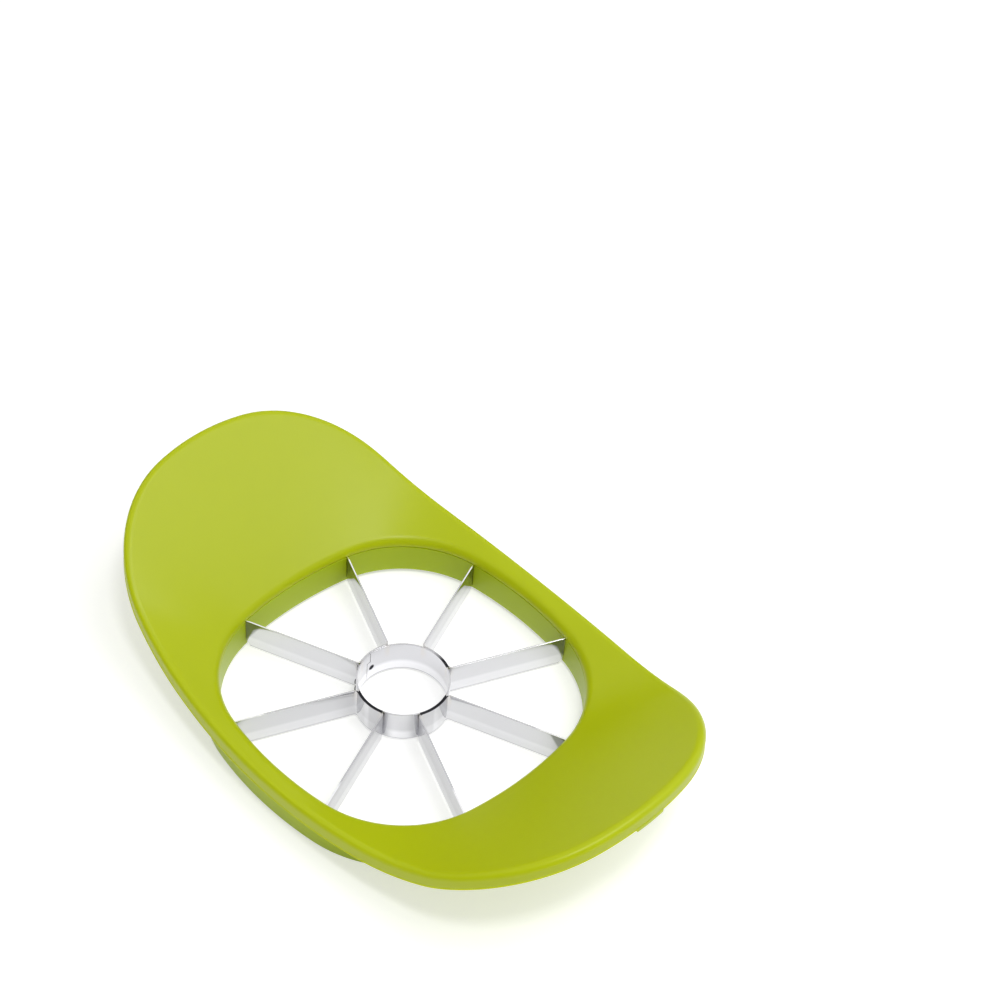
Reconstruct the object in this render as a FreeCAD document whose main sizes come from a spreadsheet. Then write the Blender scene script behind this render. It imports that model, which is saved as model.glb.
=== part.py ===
import FreeCAD, Part
import math
import os
import Sketcher
from FreeCAD import Placement, Rotation, Vector

# An apple corer and wedger: a saddle-shaped moulded top on a ring-shaped blade carrier,
# with four folded blade strips round a core ring. X runs along the two lobes, Z is up,
# and the origin is on the core ring's axis at the level of the table.

# Driving dimensions in millimetres and degrees
sizes = [
    ("opening_half_length", 42.35, "centre to the opening's wall along X"),
    ("opening_half_width", 42.03, "centre to the opening's wall along Y"),
    ("opening_side_radius", 96.1, "the opening's four gently bowed sides"),
    ("opening_corner_radius", 30.0, "the opening's four corners"),
    ("plate_half_length", 81.16, "centre to a lobe's tip"),
    ("plate_end_radius", 72.31, "plan radius of a lobe's end"),
    ("plate_corner_radius", 36.42, "plan radius between a lobe's end and the waist"),
    ("plate_side_radius", 232.94, "plan radius of the long sides at the waist"),
    ("waist_crest", 13.12, "height of the rim's crest at the waist"),
    ("saddle_middle_radius", 219.3, "the crest's curve over the middle"),
    ("saddle_middle_angle", 8.88, "slope where the middle curve ends"),
    ("saddle_shoulder_radius", 70.84, "the crest's curve where a lobe begins to rise"),
    ("lobe_slope_angle", 29.0, "slope of a lobe's rim"),
    ("rim_depth", 4.3, "crest to the rim's lower edge"),
    ("rim_rounding", 1.5, "rounding of the rim's crest"),
    ("rim_wall", 1.7, "thickness of the rim's wall"),
    ("shell_thickness", 2.2, "thickness of the top"),
    ("lip_height", 11.9, "height of the level lip round the opening"),
    ("lip_rounding", 1.35, "rounding of the lip"),
    ("dish_level_share", 0.1, "share of a lobe's slope that stays level beside the lip"),
    ("seat_height", 10.0, "where the top sits on the carrier and the blades end"),
    ("locating_rib_inset", 2.75, "opening's wall to the top's locating rib"),
    ("locating_rib_width", 0.8, "width of the locating rib"),
    ("locating_rib_depth", 1.0, "how far the locating rib reaches down"),
    ("tab_width", 8.8, "width of a lobe's nesting tab"),
    ("tab_drop", 1.3, "how far a nesting tab hangs below the rim"),
    ("tab_inset", 0.25, "step between the rim's wall and the tab"),
    ("carrier_width", 4.2, "opening's wall to the skirt's outer face"),
    ("carrier_wall", 1.4, "thickness of the carrier's two walls"),
    ("carrier_web", 1.6, "thickness of the web that joins the walls"),
    ("carrier_clearance", 0.27, "gap between the skirt and the rim at the waist"),
    ("seat_clearance", 0.17, "how much wider the top's seat is than the carrier"),
    ("inner_wall_foot", 1.2, "table to the inner wall's lower edge"),
    ("blade_foot", 0.8, "table to the cutting edges"),
    ("blade_thickness", 0.4, "thickness of a blade strip"),
    ("blade_angle", 22.5, "angle of each blade from its pair's middle"),
    ("blade_offset", 0.3, "how far a blade's middle lies outside the true radius"),
    ("blade_bend", 1.0, "middle radius of the strip's bend beside the ring"),
    ("tongue_length", 2.1, "how far a blade's end reaches into the carrier"),
    ("tongue_foot", 2.2, "table to the tongue's lower edge and the slot's floor"),
    ("heel_back", 1.0, "opening's wall to the start of the heel cut"),
    ("heel_gap", 0.3, "opening's wall to the end of the heel cut"),
    ("slot_clearance", 0.05, "gap on each side of a blade in its slot"),
    ("core_radius", 11.5, "inner radius of the core ring"),
    ("core_wall", 0.4, "thickness of the core ring"),
    ("seam_gap", 0.15, "gap of the core ring's seam"),
    ("seam_offset", 0.8, "the seam's upper end to the ring's middle plane"),
    ("seam_jog", 1.2, "sideways step of the seam"),
    ("seam_upper", 3.0, "ring's top to the seam's step"),
    ("seam_slot_length", 1.1, "length of the locking slot beside the seam"),
    ("seam_slot_height", 0.5, "height of the locking slot"),
    ("seam_slot_drop", 6.1, "ring's top to the locking slot"),
    ("seam_slot_side", 1.5, "seam to the middle of the locking slot"),
]

# How finely the top's curved skin is sampled
quarters = 4
ring_points = 30 * quarters
dish_shares = [0.0, 0.04, 0.1, 0.18, 0.3, 0.46, 0.64, 0.82, 1.0]
rounding_steps = 4
slope_steps = 6
first_slope = 0.2
tiny = 1e-9

doc = FreeCAD.newDocument("apple_corer")
sheet = doc.addObject("Spreadsheet::Sheet", "dims")
for row, (alias, value, note) in enumerate(sizes, start=1):
    sheet.set(f"A{row}", note)
    sheet.set(f"B{row}", str(value))
    sheet.setAlias(f"B{row}", alias)
doc.recompute()


def size(alias):
    return float(sheet.get(alias))


# The plate's half width follows from the carrier that fits inside its rim
rim_gap = size("carrier_clearance") + size("rim_wall")
plate_half_width = size("opening_half_width") + size("carrier_width") + rim_gap


# Plan outlines: a tangent chain of end, corner and side arcs, mirrored into all four quarters
def quarter_arcs(half_length, half_width, end_radius, side_radius, corner_radius):
    end_x = half_length - end_radius
    side_y = half_width - side_radius
    to_end = end_radius - corner_radius
    to_side = side_radius - corner_radius
    span = math.hypot(end_x, side_y)
    along = (to_end ** 2 - to_side ** 2 + span ** 2) / (2 * span)
    across = math.sqrt(to_end ** 2 - along ** 2)
    toward = Vector(-end_x, side_y, 0) / span
    square = Vector(-toward.y, toward.x, 0)
    corner = Vector(end_x, 0, 0) + toward * along + square * across
    end_turn = math.atan2(corner.y, corner.x - end_x)
    side_turn = math.atan2(corner.y - side_y, corner.x)
    return [
        (end_x, 0.0, end_radius, end_turn),
        (corner.x, corner.y, corner_radius, side_turn),
        (0.0, side_y, side_radius, math.pi / 2),
    ]


opening = quarter_arcs(
    size("opening_half_length"),
    size("opening_half_width"),
    size("opening_side_radius"),
    size("opening_side_radius"),
    size("opening_corner_radius"),
)
plate = quarter_arcs(
    size("plate_half_length"),
    plate_half_width,
    size("plate_end_radius"),
    size("plate_side_radius"),
    size("plate_corner_radius"),
)


def outline_point(arcs, offset, direction):
    """Where a ray from the centre meets the outline, moved outward by offset."""
    ray_x = abs(math.cos(direction))
    ray_y = abs(math.sin(direction))
    for centre_x, centre_y, radius, last_turn in arcs:
        along = centre_x * ray_x + centre_y * ray_y
        reach = (radius + offset) ** 2 - centre_x ** 2 - centre_y ** 2 + along ** 2
        if reach < 0:
            continue
        distance = along + math.sqrt(reach)
        turn = math.atan2(distance * ray_y - centre_y, distance * ray_x - centre_x)
        if turn <= last_turn + tiny:
            break
    foot = centre_x + radius * math.cos(turn)
    return distance, foot


def closed_outline(arcs, offset):
    """The whole outline as one wire of eight arcs."""
    corners = [(1, 1), (-1, 1), (-1, -1), (1, -1)]
    edges = []
    for index, (sign_x, sign_y) in enumerate(corners):
        first_turn = 0.0
        spans = []
        for centre_x, centre_y, radius, last_turn in arcs:
            points = []
            for turn in (first_turn, (first_turn + last_turn) / 2, last_turn):
                x = centre_x + (radius + offset) * math.cos(turn)
                y = centre_y + (radius + offset) * math.sin(turn)
                points.append(Vector(sign_x * x, sign_y * y, 0))
            spans.append(points)
            first_turn = last_turn
        if index % 2:
            spans = [points[::-1] for points in reversed(spans)]
        edges += [Part.Arc(*points).toShape() for points in spans]
    return Part.Wire(edges)


def holed_face(outer, inner):
    return Part.makeFace([outer, inner], "Part::FaceMakerBullseye")


def band(arcs, inner_offset, outer_offset, low, high):
    """An upright wall between two offsets of an outline."""
    outer = closed_outline(arcs, outer_offset)
    inner = closed_outline(arcs, inner_offset)
    face = holed_face(outer, inner)
    face.translate(Vector(0, 0, low))
    return face.extrude(Vector(0, 0, high - low))


# The saddle line: the height of the rim's crest over a place along X
def crest_height(x):
    x = abs(x)
    middle = size("saddle_middle_radius")
    shoulder = size("saddle_shoulder_radius")
    first = math.radians(size("saddle_middle_angle"))
    last = math.radians(size("lobe_slope_angle"))
    first_x = middle * math.sin(first)
    last_x = first_x + shoulder * (math.sin(last) - math.sin(first))
    if x <= first_x:
        return size("waist_crest") + middle - math.sqrt(middle ** 2 - x ** 2)
    first_z = size("waist_crest") + middle * (1 - math.cos(first))
    turn = math.asin((min(x, last_x) - first_x) / shoulder + math.sin(first))
    height = first_z + shoulder * (math.cos(first) - math.cos(turn))
    return height + max(x - last_x, 0.0) * math.tan(last)


def dish_share(share):
    """Height share of the dish: level beside the lip, then an even slope to the rim."""
    flat = size("dish_level_share")
    return (math.sqrt(share ** 2 + flat ** 2) - flat) / (math.sqrt(1 + flat ** 2) - flat)


class Section:
    """The top's cross-section on one ray from the centre."""

    def __init__(self, direction):
        self.direction = direction
        self.lip, _ = outline_point(opening, size("lip_rounding"), direction)
        self.edge, self.edge_foot = outline_point(plate, 0.0, direction)
        self.slope = first_slope
        flat = size("dish_level_share")
        end_share = 1 / (math.sqrt(1 + flat ** 2) * (math.sqrt(1 + flat ** 2) - flat))
        for _ in range(slope_steps):
            self.top_end, self.top_end_z = self.rim(-self.slope)
            rise = (self.top_end_z - size("lip_height")) * end_share
            self.slope = math.atan(rise / (self.top_end - self.lip))

    def rim(self, turn):
        """A point of the rounded crest: turn is 0 at the crest and a right angle at the wall."""
        rounding = size("rim_rounding")
        inward = rounding * (1 - math.sin(turn))
        distance, foot = outline_point(plate, -inward, self.direction)
        return distance, crest_height(foot) - rounding + rounding * math.cos(turn)

    def top_z(self, distance):
        share = (distance - self.lip) / (self.top_end - self.lip)
        share = min(max(share, 0.0), 1.0)
        return size("lip_height") + (self.top_end_z - size("lip_height")) * dish_share(share)

    def at(self, distance, height):
        x = distance * math.cos(self.direction)
        y = distance * math.sin(self.direction)
        return Vector(x, y, height)

    def lip_points(self):
        rounding = size("lip_rounding")
        points = []
        for step in range(rounding_steps + 1):
            turn = math.pi / 2 * step / rounding_steps
            distance, _ = outline_point(opening, rounding * (1 - math.cos(turn)), self.direction)
            points.append(self.at(distance, size("lip_height") - rounding * (1 - math.sin(turn))))
        return points

    def dish_points(self):
        points = []
        for share in dish_shares:
            distance = self.lip + (self.top_end - self.lip) * share
            points.append(self.at(distance, self.top_z(distance)))
        return points

    def crest_points(self):
        points = []
        for step in range(rounding_steps + 1):
            turn = -self.slope + (math.pi / 2 + self.slope) * step / rounding_steps
            points.append(self.at(*self.rim(turn)))
        return points

    def rim_foot(self, inset):
        distance, foot = outline_point(plate, -inset, self.direction)
        return self.at(distance, crest_height(foot) - size("rim_depth"))

    def under_points(self):
        """The underside, from the rim's inner wall in to the seat."""
        seat = size("carrier_width") + size("seat_clearance")
        inner, _ = outline_point(opening, seat, self.direction)
        outer, _ = outline_point(plate, -size("rim_wall"), self.direction)
        upright = size("shell_thickness") / math.cos(self.slope)
        fall = size("seat_height") - self.top_z(inner) + upright
        points = []
        for share in reversed(dish_shares):
            distance = inner + (outer - inner) * share
            rise = self.top_z(distance) - self.top_z(inner)
            points.append(self.at(distance, size("seat_height") + rise - fall * share))
        return points

    def seat_point(self):
        distance, _ = outline_point(opening, 0.0, self.direction)
        return self.at(distance, size("seat_height"))


def quarter_edge(points):
    """The first quarter of a smooth closed curve through the points."""
    spline = Part.BSplineCurve()
    count = len(points)
    knots = [index / count for index in range(count + 1)]
    spline.interpolate(Points=points, PeriodicFlag=True, Parameters=knots)
    spline.segment(0.0, 1 / quarters)
    return spline.toShape()


def flat_skin(first, second):
    """A quarter of the straight-lined face between two rings."""
    return [Part.makeRuledSurface(quarter_edge(first), quarter_edge(second))]


def smooth_skin(rings):
    """A quarter of the curved face through several rings."""
    wires = [Part.Wire([quarter_edge(ring)]) for ring in rings]
    return Part.makeLoft(wires, False, False).Faces


def mirrored_too(faces, normal):
    return faces + [face.mirror(Vector(), normal) for face in faces]


def top_shell_shape():
    sections = [Section(2 * math.pi * index / ring_points) for index in range(ring_points)]
    lip = list(zip(*[section.lip_points() for section in sections]))
    dish = list(zip(*[section.dish_points() for section in sections]))
    crest = list(zip(*[section.crest_points() for section in sections]))
    under = list(zip(*[section.under_points() for section in sections]))
    seat = [section.seat_point() for section in sections]
    rim_outer = [section.rim_foot(0.0) for section in sections]
    rim_inner = [section.rim_foot(size("rim_wall")) for section in sections]
    faces = flat_skin(seat, lip[0])
    faces += smooth_skin(lip)
    faces += smooth_skin(dish)
    faces += smooth_skin(crest)
    faces += flat_skin(crest[-1], rim_outer)
    faces += flat_skin(rim_outer, rim_inner)
    faces += flat_skin(rim_inner, under[0])
    faces += smooth_skin(under)
    faces += flat_skin(under[-1], seat)
    faces = mirrored_too(faces, Vector(1, 0, 0))
    faces = mirrored_too(faces, Vector(0, 1, 0))
    shell = Part.Shell(faces)
    shell.sewShape()
    tray = Part.Solid(shell)
    if tray.Volume < 0:
        tray.reverse()
    return tray


def size_box(length, width, height, x, y, z):
    return Part.makeBox(length, width, height, Vector(x, y, z))


def locating_rib_shape():
    inset = size("locating_rib_inset")
    outer = inset + size("locating_rib_width")
    low = size("seat_height") - size("locating_rib_depth")
    high = size("seat_height") + size("locating_rib_width")
    return band(opening, inset, outer, low, high)


def nesting_tab_shapes():
    inset = size("tab_inset")
    rim_foot = crest_height(size("plate_half_length")) - size("rim_depth")
    low = rim_foot - size("tab_drop")
    wall = band(plate, inset - size("rim_wall"), -inset, low, rim_foot + size("tab_drop"))
    width = size("tab_width")
    reach = size("plate_half_length")
    strip = size_box(2 * reach, width, reach, -reach, -width / 2, 0)
    return wall.common(strip)


# Bodies and sketches
def new_body(label):
    body = doc.addObject("PartDesign::Body", label)
    body.Label = label
    return body


def origin_part(body, role):
    return next(item for item in body.Origin.OriginFeatures if item.Role == role)


def value(expression):
    return float(sheet.evalExpression(expression))


def new_sketch(body, name, plane, height="0 * dims.seat_height", turn="0 * dims.blade_angle"):
    """A sketch on one of the body's own planes, lifted by height and turned about the plane's normal."""
    sketch = body.newObject("Sketcher::SketchObject", name)
    sketch.AttachmentSupport = [(origin_part(body, plane), "")]
    sketch.MapMode = "FlatFace"
    sketch.setExpression("AttachmentOffset.Base.z", height)
    sketch.setExpression("AttachmentOffset.Rotation.Angle", turn)
    return sketch


def bind(sketch, kind, *where, to):
    """Adds a constraint whose value is an expression over the sheet."""
    amount = math.radians(value(to)) if kind == "Angle" else value(to)
    index = sketch.addConstraint(Sketcher.Constraint(kind, *where, amount))
    name = f"{kind.lower()}_{index}"
    sketch.renameConstraint(index, name)
    sketch.setExpression(f"Constraints.{name}", to)


def place_point(sketch, element, end, x, y):
    bind(sketch, "DistanceX", -1, 1, element, end, to=x)
    bind(sketch, "DistanceY", -1, 1, element, end, to=y)


def add_polygon(sketch, corners):
    """A closed polygon whose corners are pairs of expressions."""
    points = [Vector(value(x), value(y), 0) for x, y in corners]
    lines = []
    for index, point in enumerate(points):
        following = points[(index + 1) % len(points)]
        lines.append(sketch.addGeometry(Part.LineSegment(point, following)))
    for index, line in enumerate(lines):
        following = lines[(index + 1) % len(lines)]
        sketch.addConstraint(Sketcher.Constraint("Coincident", line, 2, following, 1))
        place_point(sketch, line, 1, *corners[index])


def add_circle(sketch, radius):
    circle = sketch.addGeometry(Part.Circle(Vector(), Vector(0, 0, 1), value(radius)))
    sketch.addConstraint(Sketcher.Constraint("Coincident", circle, 3, -1, 1))
    bind(sketch, "Radius", circle, to=radius)


def add_opening_loop(sketch, offset):
    """The opening's outline, moved outward by offset, as a tangent chain of eight arcs."""
    end_x = "(dims.opening_half_length - dims.opening_side_radius)"
    side_y = "(dims.opening_half_width - dims.opening_side_radius)"
    side_radius = f"dims.opening_side_radius + {offset}"
    corner_radius = f"dims.opening_corner_radius + {offset}"
    end, corner, side = opening
    near, far = end[3], corner[3]
    half, whole = math.pi, 2 * math.pi
    out = value(offset)
    spans = [
        (end[0], 0.0, end[2], -near, near),
        (corner[0], corner[1], corner[2], near, far),
        (0.0, side[1], side[2], far, half - far),
        (-corner[0], corner[1], corner[2], half - far, half - near),
        (-end[0], 0.0, end[2], half - near, half + near),
        (-corner[0], -corner[1], corner[2], half + near, half + far),
        (0.0, -side[1], side[2], half + far, whole - far),
        (corner[0], -corner[1], corner[2], whole - far, whole - near),
    ]
    arcs = []
    for x, y, radius, start, stop in spans:
        circle = Part.Circle(Vector(x, y, 0), Vector(0, 0, 1), radius + out)
        arcs.append(sketch.addGeometry(Part.ArcOfCircle(circle, start, stop)))
    for index, arc in enumerate(arcs):
        following = arcs[(index + 1) % len(arcs)]
        sketch.addConstraint(Sketcher.Constraint("Tangent", arc, 2, following, 1))
    for index in (3, 5, 7):
        sketch.addConstraint(Sketcher.Constraint("Equal", arcs[1], arcs[index]))
    sketch.addConstraint(Sketcher.Constraint("Equal", arcs[0], arcs[4]))
    sketch.addConstraint(Sketcher.Constraint("Equal", arcs[2], arcs[6]))
    bind(sketch, "Radius", arcs[0], to=side_radius)
    bind(sketch, "Radius", arcs[2], to=side_radius)
    bind(sketch, "Radius", arcs[1], to=corner_radius)
    for arc, sign in ((arcs[0], "1"), (arcs[4], "-1")):
        sketch.addConstraint(Sketcher.Constraint("PointOnObject", arc, 3, -1))
        bind(sketch, "DistanceX", -1, 1, arc, 3, to=f"{sign} * {end_x}")
    for arc, sign in ((arcs[2], "1"), (arcs[6], "-1")):
        sketch.addConstraint(Sketcher.Constraint("PointOnObject", arc, 3, -2))
        bind(sketch, "DistanceY", -1, 1, arc, 3, to=f"{sign} * {side_y}")


def add_feature(body, kind, name, sketch, length, upward=False):
    """A pad, or a pocket that must take material away."""
    before = 0.0 if body.Shape.isNull() else body.Shape.Volume
    feature = body.newObject(f"PartDesign::{kind}", name)
    feature.Profile = sketch
    feature.setExpression("Length", length)
    feature.Reversed = upward
    doc.recompute()
    change = feature.Shape.Volume - before
    if (kind == "Pad") != (change > 0) or abs(change) < tiny:
        raise RuntimeError(f"{body.Label}: {name} changed nothing")
    return feature


# The distance at which a blade's line crosses the opening's wall
def wall_reach(half_size):
    centre = f"(dims.{half_size} - dims.opening_side_radius)"
    along = f"{centre} * cos(dims.blade_angle)"
    across = f"{centre} * sin(dims.blade_angle)"
    return f"({along} + sqrt(dims.opening_side_radius ^ 2 - ({across}) ^ 2))"


# The ring that carries the blades: two walls under a web, standing on the outer one
def build_blade_carrier():
    body = new_body("blade_carrier")
    sketch = new_sketch(body, "carrier_plan", "XY_Plane")
    add_opening_loop(sketch, "dims.carrier_width")
    add_opening_loop(sketch, "0 * dims.carrier_width")
    add_feature(body, "Pad", "carrier_band", sketch, "dims.seat_height")

    sketch = new_sketch(body, "channel_plan", "XY_Plane")
    add_opening_loop(sketch, "(dims.carrier_width - dims.carrier_wall)")
    add_opening_loop(sketch, "dims.carrier_wall")
    depth = "dims.seat_height - dims.carrier_web"
    add_feature(body, "Pocket", "channel", sketch, depth, upward=True)

    sketch = new_sketch(body, "inner_foot_plan", "XY_Plane")
    add_opening_loop(sketch, "dims.carrier_wall")
    add_feature(body, "Pocket", "inner_foot", sketch, "dims.inner_wall_foot", upward=True)

    sketch = new_sketch(body, "rib_groove_plan", "XY_Plane", height="dims.seat_height")
    rib_inner = "dims.locating_rib_inset - dims.slot_clearance"
    rib_outer = "dims.locating_rib_inset + dims.locating_rib_width + dims.slot_clearance"
    add_opening_loop(sketch, f"({rib_outer})")
    add_opening_loop(sketch, f"({rib_inner})")
    depth = "dims.locating_rib_depth + dims.slot_clearance"
    add_feature(body, "Pocket", "rib_groove", sketch, depth)

    for facing, half_size in ((0, "opening_half_length"), (90, "opening_half_width")):
        slots = []
        for side in (1, -1):
            turn = f"{facing} + {side} * dims.blade_angle"
            sketch = new_sketch(body, f"slot_plan_{facing}", "XY_Plane", "dims.tongue_foot", turn)
            reach = wall_reach(half_size)
            start = f"{reach} - dims.carrier_wall"
            stop = f"{reach} + dims.tongue_length + dims.slot_clearance"
            middle = f"{side} * dims.blade_offset"
            half = "(dims.blade_thickness / 2 + dims.slot_clearance)"
            low = f"{middle} - {half}"
            high = f"{middle} + {half}"
            add_polygon(sketch, [(start, low), (stop, low), (stop, high), (start, high)])
            slot = add_feature(body, "Pocket", f"slot_{facing}", sketch, "dims.seat_height", upward=True)
            slots.append(slot)
        pattern = body.newObject("PartDesign::PolarPattern", f"slots_{facing}")
        pattern.Originals = slots
        pattern.Axis = (origin_part(body, "Z_Axis"), [""])
        pattern.Angle = 360
        pattern.Occurrences = 2
        body.Tip = pattern
        doc.recompute()
    return body


# A blade pair: one strip that comes in as a blade, wraps the core ring and goes out as the next blade
def build_blade_pair(label, facing, half_size):
    body = new_body(label)
    half = "dims.blade_thickness / 2"
    wrap_inner = "(dims.core_radius + dims.core_wall)"
    wrap_outer = f"({wrap_inner} + dims.blade_thickness)"
    bend_inner = f"(dims.blade_bend - {half})"
    bend_outer = f"(dims.blade_bend + {half})"
    reach = f"({wall_reach(half_size)} + dims.tongue_length)"
    blade_line = f"(dims.blade_offset - {half})"
    end_x = f"{reach} * cos(dims.blade_angle) - {blade_line} * sin(dims.blade_angle)"
    end_y = f"{reach} * sin(dims.blade_angle) + {blade_line} * cos(dims.blade_angle)"

    turn = math.radians(size("blade_angle"))
    along = Vector(math.cos(turn), math.sin(turn), 0)
    across = Vector(-math.sin(turn), math.cos(turn), 0)
    bend = size("blade_bend")
    thickness = size("blade_thickness")
    bend_side = size("blade_offset") - bend
    wrap_middle = value(wrap_inner) + thickness / 2
    bend_along = math.sqrt((wrap_middle + bend) ** 2 - bend_side ** 2)
    bend_centre = along * bend_along + across * bend_side
    wrap_turn = math.atan2(bend_centre.y, bend_centre.x)

    def arc(centre, radius, start, stop):
        return Part.ArcOfCircle(Part.Circle(centre, Vector(0, 0, 1), radius), start, stop)

    def blade_point(distance, side):
        return along * distance + across * side

    near = size("blade_offset") - thickness / 2
    far = size("blade_offset") + thickness / 2
    tip = value(reach)
    sketch = new_sketch(body, f"{label}_plan", "XY_Plane", height="dims.blade_foot")
    middle, outer, small, near_line, cap, far_line, large, inner = range(8)
    sketch.addGeometry([
        Part.LineSegment(Vector(value(wrap_inner), 0, 0), Vector(value(wrap_outer), 0, 0)),
        arc(Vector(), value(wrap_outer), 0, wrap_turn),
        arc(bend_centre, value(bend_inner), turn + math.pi / 2, wrap_turn + math.pi),
        Part.LineSegment(blade_point(bend_along, near), blade_point(tip, near)),
        Part.LineSegment(blade_point(tip, near), blade_point(tip, far)),
        Part.LineSegment(blade_point(tip, far), blade_point(bend_along, far)),
        arc(bend_centre, value(bend_outer), turn + math.pi / 2, wrap_turn + math.pi),
        arc(Vector(), value(wrap_inner), 0, wrap_turn),
    ])
    joins = [
        ("Coincident", middle, 2, outer, 1),
        ("Tangent", outer, 2, small, 2),
        ("Tangent", small, 1, near_line, 1),
        ("Coincident", near_line, 2, cap, 1),
        ("Coincident", cap, 2, far_line, 1),
        ("Tangent", far_line, 2, large, 1),
        ("Tangent", large, 2, inner, 2),
        ("Coincident", inner, 1, middle, 1),
        ("Coincident", outer, 3, -1, 1),
        ("Coincident", inner, 3, -1, 1),
        ("PointOnObject", outer, 1, -1),
        ("PointOnObject", inner, 1, -1),
        ("Parallel", near_line, far_line),
        ("Perpendicular", near_line, cap),
    ]
    for join in joins:
        sketch.addConstraint(Sketcher.Constraint(*join))
    bind(sketch, "Radius", outer, to=wrap_outer)
    bind(sketch, "Radius", inner, to=wrap_inner)
    bind(sketch, "Radius", small, to=bend_inner)
    bind(sketch, "Radius", large, to=bend_outer)
    bind(sketch, "Angle", -1, 1, near_line, 1, to="dims.blade_angle")
    place_point(sketch, near_line, 2, end_x, end_y)
    bind(sketch, "Distance", cap, to="dims.blade_thickness")
    add_feature(body, "Pad", f"{label}_half", sketch, "dims.seat_height - dims.blade_foot")

    mirror = body.newObject("PartDesign::Mirrored", f"{label}_fold")
    mirror.Originals = [body.Tip]
    mirror.MirrorPlane = (origin_part(body, "XZ_Plane"), [""])
    body.Tip = mirror
    doc.recompute()

    wall = wall_reach(half_size)
    below = "dims.blade_foot - dims.blade_thickness"
    sketch = new_sketch(body, f"{label}_heel_profile", "XZ_Plane")
    corners = [
        (f"{wall} - dims.heel_back", below),
        (f"{wall} - dims.heel_back", "dims.blade_foot"),
        (f"{wall} - dims.heel_gap", "dims.tongue_foot"),
        (f"{reach} + dims.tongue_length", "dims.tongue_foot"),
        (f"{reach} + dims.tongue_length", below),
    ]
    add_polygon(sketch, corners)
    before = body.Shape.Volume
    heel = body.newObject("PartDesign::Groove", f"{label}_heel")
    heel.Profile = sketch
    heel.ReferenceAxis = (origin_part(body, "Z_Axis"), [""])
    heel.Angle = 360
    doc.recompute()
    if heel.Shape.Volume >= before:
        raise RuntimeError(f"{label}: the heel cut took nothing away")
    body.Placement = Placement(Vector(), Rotation(Vector(0, 0, 1), facing))
    return body


# The core ring: a rolled band whose ends meet in a stepped seam with a locking slot beside it
def build_core_ring():
    body = new_body("core_ring")
    sketch = new_sketch(body, "core_plan", "XY_Plane", height="dims.blade_foot")
    add_circle(sketch, "dims.core_radius + dims.core_wall")
    add_circle(sketch, "dims.core_radius")
    add_feature(body, "Pad", "core_band", sketch, "dims.seat_height - dims.blade_foot")

    gap = "dims.seam_gap / 2"
    left = "(-dims.seam_offset)"
    right = "(-dims.seam_offset - dims.seam_jog)"
    top = "dims.seat_height + dims.core_wall"
    step = "(dims.seat_height - dims.seam_upper)"
    bottom = "dims.blade_foot - dims.core_wall"
    behind = "-dims.core_radius + dims.core_wall"
    sketch = new_sketch(body, "seam_profile", "YZ_Plane", height=behind)
    corners = [
        (f"{left} + {gap}", top),
        (f"{left} - {gap}", top),
        (f"{left} - {gap}", f"{step} + {gap}"),
        (f"{right} - {gap}", f"{step} + {gap}"),
        (f"{right} - {gap}", bottom),
        (f"{right} + {gap}", bottom),
        (f"{right} + {gap}", f"{step} - {gap}"),
        (f"{left} + {gap}", f"{step} - {gap}"),
    ]
    add_polygon(sketch, corners)
    through = "3 * dims.core_wall"
    add_feature(body, "Pocket", "seam", sketch, through)

    half_length = "dims.seam_slot_length / 2"
    half_height = "dims.seam_slot_height / 2"
    centre = "(dims.seam_slot_side - dims.seam_offset)"
    level = "(dims.seat_height - dims.seam_slot_drop)"
    sketch = new_sketch(body, "seam_slot_profile", "YZ_Plane", height=behind)
    corners = [
        (f"{centre} - {half_length}", f"{level} - {half_height}"),
        (f"{centre} + {half_length}", f"{level} - {half_height}"),
        (f"{centre} + {half_length}", f"{level} + {half_height}"),
        (f"{centre} - {half_length}", f"{level} + {half_height}"),
    ]
    add_polygon(sketch, corners)
    add_feature(body, "Pocket", "seam_slot", sketch, through)
    return body


def build_top_shell():
    piece = doc.addObject("Part::Feature", "top_shell")
    piece.Label = "top_shell"
    extras = [locating_rib_shape(), nesting_tab_shapes()]
    piece.Shape = top_shell_shape().fuse(extras).Solids[0]
    piece.Placement = Placement()
    return piece


pieces = [
    build_top_shell(),
    build_blade_carrier(),
    build_blade_pair("blade_pair_right", 0, "opening_half_length"),
    build_blade_pair("blade_pair_back", 90, "opening_half_width"),
    build_blade_pair("blade_pair_left", 180, "opening_half_length"),
    build_blade_pair("blade_pair_front", 270, "opening_half_width"),
    build_core_ring(),
]
doc.recompute()

for item in doc.Objects:
    if {"Invalid", "Error"} & set(item.State):
        raise RuntimeError(f"{item.Label} did not build: {item.State}")
for piece in pieces:
    if piece.Shape.isNull() or not piece.Shape.isValid():
        raise RuntimeError(f"{piece.Label} has no valid shape")

os.makedirs("parts", exist_ok=True)
for piece in pieces:
    piece.Shape.exportStep(f"parts/{piece.Label}.step")
    print(f"{piece.Label}: {len(piece.Shape.Solids)} solid, {piece.Shape.Volume:.1f} cubic mm")
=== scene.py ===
import math

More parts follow.
